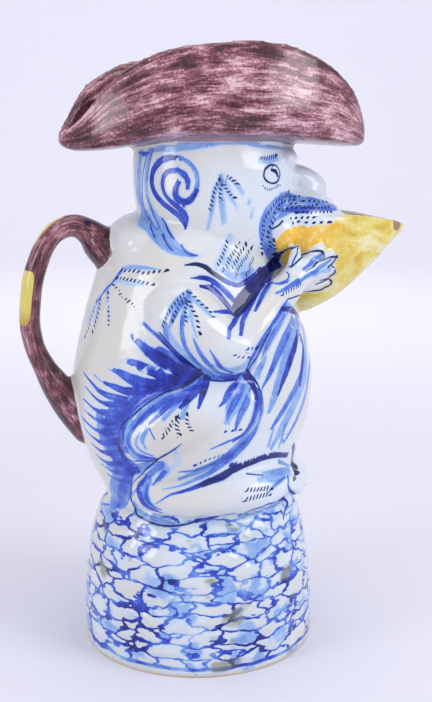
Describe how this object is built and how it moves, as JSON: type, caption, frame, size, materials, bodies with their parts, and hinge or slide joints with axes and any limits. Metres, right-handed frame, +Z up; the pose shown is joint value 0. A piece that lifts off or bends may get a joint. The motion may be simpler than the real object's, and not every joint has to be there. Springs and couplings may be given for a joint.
{
  "type": "figural jug",
  "caption": "Tin-glazed jug shaped as a crouching monkey in a cocked hat that drinks from a half shell; the shell is the spout, a strap handle on its back.",
  "frame": {"origin": "centre of the flat underside of the round base, on the surface that it stands on", "axes": "+Z up from the underside to the hat; +X the way the monkey faces and the shell spout points; +Y its left side, so that -Y is the side that the picture shows; -X the handle"},
  "size_m": [0.1767, 0.1152, 0.2701],
  "materials": {
    "tin_glaze": "glossy white tin glaze painted in cobalt blue, manganese purple and yellow"
  },
  "bodies": {
    "root": {"jug": "tin_glaze"}
  },
  "joints": []
}
